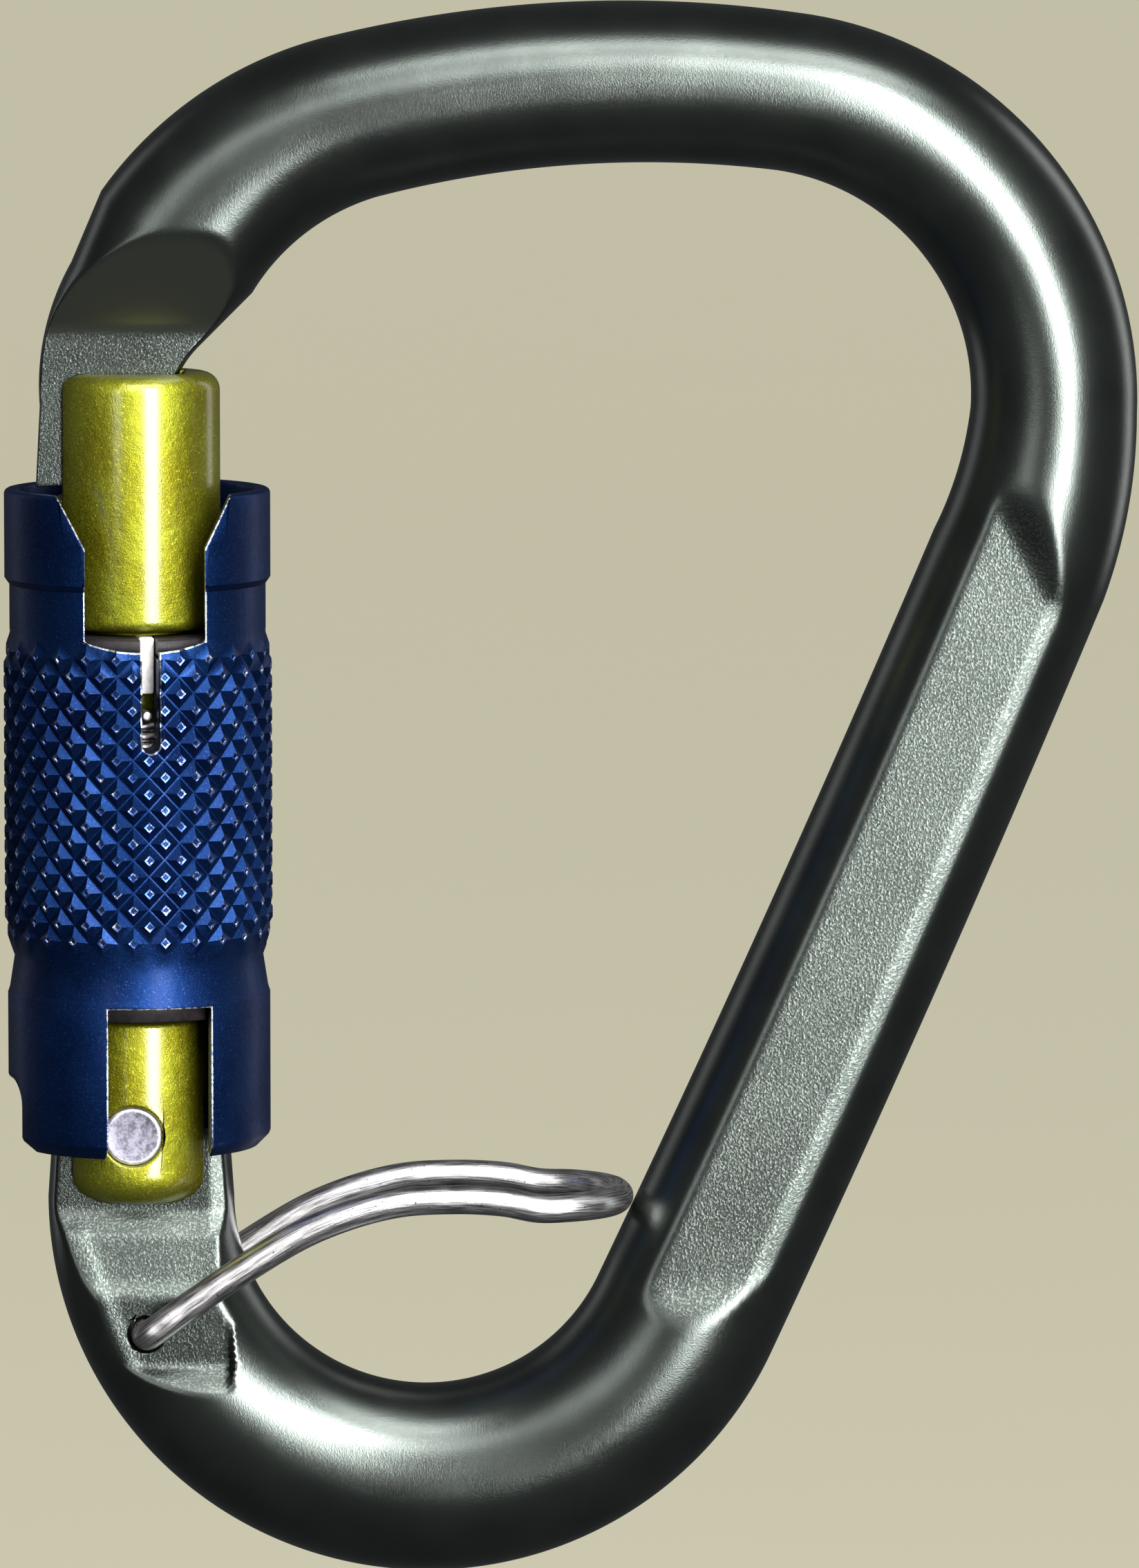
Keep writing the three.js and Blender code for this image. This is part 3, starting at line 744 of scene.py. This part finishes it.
def make_gate(material):
    outline = [
        (0, FOOT_LOW),
        *arc((FOOT_RADIUS - FOOT_ROUND, FOOT_LOW + FOOT_ROUND), FOOT_ROUND, -90, 0, 10),
        (FOOT_RADIUS, RIVET_RADIUS + 0.3),
        *arc((FOOT_RADIUS - 0.5, FOOT_TOP - 0.5), 0.5, 0, 90, 5),
        *reversed(arc((STEM_RADIUS + 0.3, FOOT_TOP + 0.3), 0.3, 180, 270, 4)),
        *reversed(arc((STEM_RADIUS + 0.3, HEAD_LOW - 0.3), 0.3, 90, 180, 4)),
        *arc((HEAD_RADIUS - 0.8, HEAD_LOW + 0.8), 0.8, -90, 0, 6),
        *arc((HEAD_RADIUS - 1.3, GATE_TOP - 1.3), 1.3, 0, 90, 8),
        (0, GATE_TOP),
    ]
    gate = turned("gate", outline, 144)
    gate.data.materials.append(material)
    depth = SLOT_HALF_DEPTH
    tang_slot = [
        (-10, TANG_SLOT_FLOOR), (TANG_SLOT_END_X, TANG_SLOT_FLOOR),
        (TANG_SLOT_END_X, GATE_TOP + 5), (-10, GATE_TOP + 5),
    ]
    fork_slot = [(-10, FOOT_LOW - 5), (10, FOOT_LOW - 5), (10, FORK_SLOT_TOP), (-10, FORK_SLOT_TOP)]
    bore = [(0, 0), (SPRING_BORE, 0), (SPRING_BORE, SPRING_BORE_TOP), (0, SPRING_BORE_TOP)]
    cut(gate, [
        block("tang_slot", tang_slot, -depth, depth),
        block("fork_slot", fork_slot, -depth, depth),
        turned("spring_bore", bore, 48),
        round_bar("rivet_hole", RIVET_RADIUS + 0.03, 12, RIVET_X, 0),
    ])
    soften_edges(gate, 0.25, angle=40, segments=3)
    finish_piece(gate, "gate_barrel", "gate")


def make_rivet(material):
    half = RIVET_HALF_LENGTH
    outline = [
        (0, -half + 0.06), (RIVET_RADIUS * 0.55, -half + 0.05), (RIVET_RADIUS - 0.42, -half + 0.03),
        *arc((RIVET_RADIUS - 0.25, -half + 0.25), 0.25, -90, 0, 5),
        *arc((RIVET_RADIUS - 0.25, half - 0.25), 0.25, 0, 90, 5),
        (RIVET_RADIUS - 0.42, half - 0.03), (RIVET_RADIUS * 0.55, half - 0.05), (0, half - 0.06),
    ]
    rivet = lay_along_y(turned("rivet", outline, 72), RIVET_X, 0)
    finish_piece(face_outwards(rivet), "gate_pivot_rivet", "gate", [material])


def make_plunger(material):
    r = PLUNGER_RADIUS
    outline = [
        *arc((0, PLUNGER_LOW + r), r, -90, 0, 12),
        *arc((r - 0.2, PLUNGER_TOP - 0.2), 0.2, 0, 90, 4),
        (r / 2, PLUNGER_TOP),
        *arc((r / 2 - 0.15, PLUNGER_TOP + 3.85), 0.15, 0, 90, 4),
        (0, PLUNGER_TOP + 4),
    ]
    outline[0] = (0, PLUNGER_LOW)
    plunger = turned("plunger", outline, 48)
    plunger.data.set_sharp_from_angle(angle=math.radians(40))
    finish_piece(plunger, "gate_plunger", "plunger", [material])


def helix(radius, low, top, turns, steps=28):
    t = np.linspace(0.0, 1.0, turns * steps + 1)
    angle = 2 * math.pi * turns * t
    return np.column_stack([radius * np.cos(angle), radius * np.sin(angle), low + (top - low) * t])


def make_gate_spring(material):
    low, top = GATE_SPRING["low"], GATE_SPRING["top"]
    path = helix(GATE_SPRING["radius"], low, top, GATE_SPRING["turns"])
    spring = wire("gate_spring", path, GATE_SPRING["wire"], 12)
    spring.data.materials.append(material)
    ends = [tuple(place([0, 0, z])) for z in (low + 0.5, top - 0.5)]
    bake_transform(spring)
    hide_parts("gate_return_spring")


# ---- sleeve ----


def sleeve_outline():
    """The sleeve's section from the knurl's top, over the collar and down the bore to the
    knurl's foot, as [r, z]. The knurl joins its two ends."""
    valley = KNURL_RADIUS - KNURL_DEPTH
    rim = arc((COLLAR_RADIUS - 0.35, SLEEVE_TOP - 0.35), 0.35, 0, 90, 4)
    inner_rim = arc((COLLAR_BORE + 0.25, SLEEVE_TOP - 0.25), 0.25, 90, 180, 3)
    return [
        (valley - 0.02, KNURL_TOP + 0.2),
        (HIGH_GROOVE_RADIUS, KNURL_TOP + 0.35),
        (HIGH_GROOVE_RADIUS, COLLAR_LOW - 0.05),
        (HIGH_GROOVE_RADIUS + 0.06, COLLAR_LOW),
        (COLLAR_RADIUS - 0.08, COLLAR_LOW + 0.3),
        (COLLAR_RADIUS, COLLAR_LOW + 0.42),
        (COLLAR_RADIUS, (COLLAR_LOW + SLEEVE_TOP) / 2),
        *rim,
        *inner_rim,
        (COLLAR_BORE, COLLAR_FLOOR),
        (SLEEVE_BORE, COLLAR_FLOOR),
        (SLEEVE_BORE, SKIRT_ROOF),
        (SKIRT_BORE, SKIRT_ROOF),
        (SKIRT_BORE, SLEEVE_LOW + 0.3),
        (SKIRT_BORE + 0.3, SLEEVE_LOW),
        (SKIRT_RADIUS - 0.9, SLEEVE_LOW),
        (SKIRT_RADIUS - 0.1, SLEEVE_LOW + 0.8),
        (SKIRT_RADIUS, SLEEVE_LOW + 1.05),
        (SKIRT_RADIUS, 4.5),
        (SKIRT_RADIUS, 9.95),
        (SKIRT_RADIUS - 0.06, 10.1),
        (LOW_GROOVE_RADIUS[1], 10.4),
        (LOW_GROOVE_RADIUS[0], KNURL_LOW - 0.7),
    ]


def round_point(column, columns, r, z):
    angle = 2 * math.pi * column / columns
    return (r * math.cos(angle), r * math.sin(angle), z)


def knurl_lattice(around, halves):
    """The knurl as points, faces and slots. Half rows of the lattice alternate between
    groove crossings and pyramids, so each pyramid's corners are the crossings round it."""
    valley = KNURL_RADIUS - KNURL_DEPTH
    pitch = (KNURL_TOP - KNURL_LOW) / halves
    points = [
        round_point(column, around, valley, KNURL_LOW + pitch * row)
        for row in range(halves + 1) for column in range(around)
    ]
    faces, slots = [], []

    def crossing(column, row):
        return row * around + column % around

    for row in range(1, halves):
        rise = KNURL_DEPTH * min(1.0, 0.6 + 0.4 * min(row - 1, halves - 1 - row))
        for column in range((row + 1) % 2, around, 2):
            ring = [crossing(column + 1, row), crossing(column, row + 1),
                    crossing(column - 1, row), crossing(column, row - 1)]
            side_slot = 0
            for half, sunk, slot in KNURL_TIP:
                inner = []
                for over, up in ((half, 0), (0, half), (-half, 0), (0, -half)):
                    z = KNURL_LOW + pitch * (row + up)
                    points.append(round_point(column + over, around, valley + rise - sunk, z))
                    inner.append(len(points) - 1)
                for i in range(4):
                    j = (i + 1) % 4
                    faces.append((ring[i], ring[j], inner[j], inner[i]))
                    slots.append(side_slot)
                ring, side_slot = inner, slot
            faces.append(tuple(ring))
            slots.append(side_slot)
    for row, next_row in ((0, 1), (halves, halves - 1)):
        for column in range(1 - row % 2, around, 2):
            middle = crossing(column, row)
            inside = crossing(column, next_row)
            faces.append((crossing(column - 1, row), middle, inside))
            faces.append((middle, crossing(column + 1, row), inside))
            slots += [0, 0]
    return points, faces, slots


def widen_grooves(sleeve):
    """Gives the knurl's grooves a narrow flat floor, except in its first and last rows."""
    valley = (KNURL_RADIUS - KNURL_DEPTH) * MM
    low, high = (RIVET_Z + z * MM for z in (KNURL_LOW + 0.3, KNURL_TOP - 0.3))
    work = bmesh.new()
    work.from_mesh(sleeve.data)
    loose = [vertex for vertex in work.verts if not vertex.link_faces]
    bmesh.ops.delete(work, geom=loose, context="VERTS")
    weight = work.edges.layers.float.new("bevel_weight_edge")
    for edge in work.edges:
        a, b = (vertex.co for vertex in edge.verts)
        in_valley = all(abs(math.hypot(p.x - AXIS_X, p.y) - valley) < 1e-6 for p in (a, b))
        slanting = abs(a.z - b.z) > 0.5 * MM
        if in_valley and slanting and min(a.z, b.z) > low and max(a.z, b.z) < high:
            edge[weight] = 1.0
    work.to_mesh(sleeve.data)
    work.free()
    return bevel_weighted(sleeve, KNURL_GROOVE, segments=1)


def make_knurled_tube():
    """The turned sleeve with its knurl, before its windows are cut."""
    around, halves = 2 * KNURL_ROUND, KNURL_HALF_ROWS
    points, faces, slots = knurl_lattice(around, halves)
    start = len(points)
    fine = around * PLAIN_SIDES
    outline = sleeve_outline()
    for r, z in outline:
        points += [round_point(column, fine, r, z) for column in range(fine)]
    last = start + (len(outline) - 1) * fine
    for ring in range(start, last, fine):
        for i in range(fine):
            j = (i + 1) % fine
            faces.append((ring + i, ring + j, ring + fine + j, ring + fine + i))
    for coarse, ring in ((halves * around, start), (0, last)):
        for i in range(around):
            here, there = coarse + i, coarse + (i + 1) % around
            rim = [ring + (i * PLAIN_SIDES + k) % fine for k in range(PLAIN_SIDES + 1)]
            middle = PLAIN_SIDES // 2
            faces.append((here, there, rim[middle]))
            for k in range(PLAIN_SIDES):
                faces.append((here if k < middle else there, rim[k + 1], rim[k]))
    slots += [0] * (len(faces) - len(slots))
    sleeve = make_object("sleeve", points, faces)
    sleeve.data.polygons.foreach_set("material_index", slots)
    return face_outwards(widen_grooves(sleeve))


def notch_cutter():
    half, low = NOTCH["half"], NOTCH["low"]
    flare, start = NOTCH["flare"], SLEEVE_TOP - NOTCH["flare_high"]
    across = np.linspace(-half, half, 13)
    floor = [(x, low - NOTCH["dip"] * (1 - (x / half) ** 2)) for x in across]
    outline = [
        *floor, (half, start), (half + flare, SLEEVE_TOP), (half + flare, SLEEVE_TOP + 1),
        (-half - flare, SLEEVE_TOP + 1), (-half - flare, SLEEVE_TOP), (-half, start),
    ]
    return turn_about_axis(block("notch", outline, -20, -COLLAR_BORE / 2), NOTCH["angle"])


def key_slot_cutter():
    half, low = KEY_SLOT["half"], KEY_SLOT["low"]
    outline = [*arc((0, low + half), half, 180, 360, 12), (half, NOTCH["low"] + 1), (-half, NOTCH["low"] + 1)]
    return turn_about_axis(block("key_slot", outline, -20, -STEM_RADIUS), KEY_SLOT["angle"])


def low_window_cutter(degrees):
    half, top = LOW_WINDOW["half"], LOW_WINDOW["top"]
    outline = [(-half, SLEEVE_LOW - 2), (half, SLEEVE_LOW - 2), (half, top), (-half, top)]
    return turn_about_axis(block("low_window", outline, -20, -STEM_RADIUS), degrees)


def side_window_cutter():
    half, top, corner = SIDE_WINDOW["half"], SIDE_WINDOW["top"], SIDE_WINDOW["corner"]
    outline = [
        (-half, SLEEVE_LOW - 2), (half, SLEEVE_LOW - 2),
        *arc((half - corner, top - corner), corner, 0, 90, 8),
        *arc((corner - half, top - corner), corner, 90, 180, 8),
    ]
    return turn_about_axis(block("side_window", outline, -20, -STEM_RADIUS), SIDE_WINDOW["angle"])


def make_sleeve(dyed, tip, worn):
    sleeve = turn_about_axis(make_knurled_tube(), 180 / KNURL_ROUND)
    for material in (dyed, tip, dyed, worn):
        sleeve.data.materials.append(material)
    cutters = [
        notch_cutter(),
        key_slot_cutter(),
        low_window_cutter(LOW_WINDOW["angle"]),
        low_window_cutter(LOW_WINDOW["angle"] + 180),
        side_window_cutter(),
    ]
    cut(sleeve, cutters, slot=2)
    soften_edges(sleeve, 0.13, keep_slots=(0, 1), angle=30, segments=2, edge_slot=3)
    finish_piece(sleeve, "lock_sleeve", "sleeve")


def bush(name, shape):
    bore, radius, low, top, e = shape["bore"], shape["radius"], shape["low"], shape["top"], 0.12
    outline = [
        (bore, low + e), (bore + e, low), (radius - e, low), (radius, low + e),
        (radius, top - e), (radius - e, top), (bore + e, top), (bore, top - e),
    ]
    return turned(name, outline, 96)


def make_bushes(material):
    high = bush("upper_bush", HIGH_BUSH)
    high.data.materials.append(material)
    cut(high, [key_slot_cutter()])
    finish_piece(high, "upper_guide_bush", "sleeve")
    low = bush("lower_bush", LOW_BUSH)
    finish_piece(low, "lower_guide_bush", "sleeve", [material])
    for piece in (high, low):
        piece.data.set_sharp_from_angle(angle=math.radians(50))


def make_key(material):
    half, low, top = KEY["half"], KEY["low"], KEY["top"]
    e = 0.1
    outline = [
        (-half, low + e), (-half + e, low), (half - e, low), (half, low + e),
        (half + 0.03, top - e), (half - e, top), (-half + e, top), (-half - 0.03, top - e),
    ]
    key = turn_about_axis(block("key", outline, -KEY["outer"], -KEY["inner"]), KEY_SLOT["angle"])
    soften_edges(key, 0.07, angle=60)
    finish_piece(key, "sleeve_key", "sleeve", [material])


def make_lock_spring(material):
    diameter, radius, top = LOCK_SPRING["wire"], LOCK_SPRING["radius"], LOCK_SPRING["top"]
    turns, steps = LOCK_SPRING["turns"], 28
    leg = math.radians(KEY_SLOT["angle"] - 90)
    count = np.arange(turns * steps)
    angle = leg + 2 * math.pi * (count / steps - turns)
    z = top - (diameter + 0.02) * (turns - count / steps)
    coils = np.column_stack([radius * np.cos(angle), radius * np.sin(angle), z])
    reaches = np.linspace(radius + 0.5, LOCK_SPRING["reach"], 6)
    arm = np.column_stack([reaches * math.cos(leg), reaches * math.sin(leg), 0 * reaches + top + 0.2])
    spring = wire("lock_spring", smooth_path(np.vstack([coils, arm]), 0.9), diameter, 14)
    finish_piece(spring, "sleeve_return_spring", "sleeve", [material])


# ---- keeper ----


def make_keeper(material):
    gap, corner = KEEPER_GAP, KEEPER_TIP["corner"]
    tip_x, tip_z = KEEPER_TIP["x"], KEEPER_TIP["z"]
    front = [
        (KEEPER_X, -KEEPER_END_Y, KEEPER_Z),
        (KEEPER_X, -gap + 1.4, KEEPER_Z),
        (KEEPER_X + 0.25, -gap + 0.3, KEEPER_Z + 0.18),
        *((x, -gap, z) for x, z in KEEPER_LEG),
        *((x, y, tip_z) for x, y in arc((tip_x - corner, corner - gap), corner, -90, 0, 4)),
    ]
    back = [(x, -y, z) for x, y, z in reversed(front)]
    path = smooth_path([*front, (tip_x, 0, tip_z), *back], 0.35)
    keeper = wire("keeper", path, KEEPER_WIRE, 32)

    def dent(points):
        x, y, z = points.T
        near = np.hypot((x - 1.45) / 0.55, (z + 13.65) / 0.36)
        depth = 0.13 * np.exp(-near**2) * (np.abs(y) > gap + 0.2)
        return np.column_stack([x, y - np.sign(y) * depth, z])

    move_points(keeper, dent)
    finish_piece(keeper, "wire_keeper", "keeper", [material])


# ---- camera, light and stage ----

LIGHTS = [  # (name, azimuth, elevation, distance in m, size in m, power in W)
    ("key", 21, 13, 0.8, (0.27, 0.95), 22.0),
    ("slot", 9, 10, 0.9, (0.1, 0.1), 0.5),
    ("fill", -26, 15, 0.9, (0.16, 0.6), 1.4),
    ("top", 15, 60, 0.8, (0.6, 0.2), 4.0),
    ("front_top", 5, 38, 0.85, (0.5, 0.25), 2.5),
    ("left_rim", -125, 12, 0.8, (0.2, 0.8), 0.35),
    ("right_rim", 125, 12, 0.8, (0.2, 0.8), 1.0),
]


def make_camera(target):
    distance, elevation = 0.78, math.radians(6.3)
    view_width = 0.0824
    data = bpy.data.cameras.new("camera")
    data.sensor_fit = "HORIZONTAL"
    data.sensor_width = 36.0
    data.lens = data.sensor_width * distance / view_width
    camera = bpy.data.objects.new("camera", data)
    camera.location = target + distance * Vector((0, -math.cos(elevation), math.sin(elevation)))
    camera.rotation_euler = (math.pi / 2 - elevation, 0, 0)
    bpy.context.scene.collection.objects.link(camera)
    bpy.context.scene.camera = camera


def make_light(name, target, azimuth, elevation, distance, size, power):
    """A soft box aimed at the target. Azimuth turns from the front towards +X."""
    data = bpy.data.lights.new(name, "AREA")
    data.shape = "RECTANGLE"
    data.size, data.size_y = size
    data.energy = power
    light = bpy.data.objects.new(name, data)
    a, e = math.radians(azimuth), math.radians(elevation)
    way = Vector((math.sin(a) * math.cos(e), -math.cos(a) * math.cos(e), math.sin(e)))
    light.location = target + distance * way
    light.rotation_euler = way.to_track_quat("Z", "Y").to_euler()
    bpy.context.scene.collection.objects.link(light)


def make_stage(target):
    """A floor that curves up into a wall, far enough back for a camera behind the object."""
    floor = target.z - 0.17
    wall_y, bend, half = 3.2, 0.6, 4.0
    profile = [(-4.0, floor)]
    for angle in np.radians(np.linspace(-90, 0, 25)):
        profile.append((wall_y - bend + bend * math.cos(angle), floor + bend + bend * math.sin(angle)))
    profile.append((wall_y, floor + 4.0))
    points = [(x, y, z) for y, z in profile for x in (-half, half)]
    faces = [(i, i + 1, i + 3, i + 2) for i in range(0, 2 * len(profile) - 2, 2)]
    mesh = bpy.data.meshes.new("stage")
    mesh.from_pydata(points, [], faces)
    mesh.shade_smooth()
    mesh.materials.append(backdrop_paint("backdrop"))
    stage = bpy.data.objects.new("stage", mesh)
    bpy.context.scene.collection.objects.link(stage)
    stage.visible_glossy = False


def make_world():
    world = bpy.data.worlds.new("world")
    world.use_nodes = True
    background = world.node_tree.nodes["Background"]
    background.inputs["Color"].default_value = (0.9, 0.95, 1.0, 1.0)
    background.inputs["Strength"].default_value = 0.06
    bpy.context.scene.world = world
    bpy.context.scene.view_settings.view_transform = "Standard"


# ---- put together ----

low, high = bounds_at_start
target = Vector(((low[0] + high[0]) / 2, 0, (low[2] + high[2]) / 2 + 0.5 * MM))
make_camera(target)
for name, azimuth, elevation, distance, size, power in LIGHTS:
    make_light(name, target, azimuth, elevation, distance, size, power)
make_stage(target)
make_world()

steel = spring_steel("spring_steel")
dyed_blue = anodised("sleeve_blue", SLEEVE_DARK, SLEEVE_LIGHT, 0.11, 0.014, 0.44, 0.03)
make_body(forged_body("body_green_grey"))
make_gate(anodised("gate_yellow", GATE_DARK, GATE_LIGHT, 0.13, 0.036, 0.47, 0.7))
make_rivet(struck_steel("rivet_steel"))
make_plunger(steel)
make_gate_spring(steel)
make_sleeve(
    dyed_blue,
    bare_edge("knurl_tips", (0.03, 0.07, 0.22), 0.12),
    bare_edge("worn_edge", (0.05, 0.09, 0.26), 0.22),
)
# The bushes' near-black colour is partly their own dark plastic and partly painted shade for the dim notch
# and low window.
make_bushes(moulded("bush_plastic", (0.006, 0.005, 0.006), (0.014, 0.010, 0.012), 0.5))
make_key(moulded("key_plastic", (0.45, 0.43, 0.41), (0.62, 0.60, 0.58), 0.45))
make_lock_spring(steel)
make_keeper(drawn_wire("keeper_steel"))
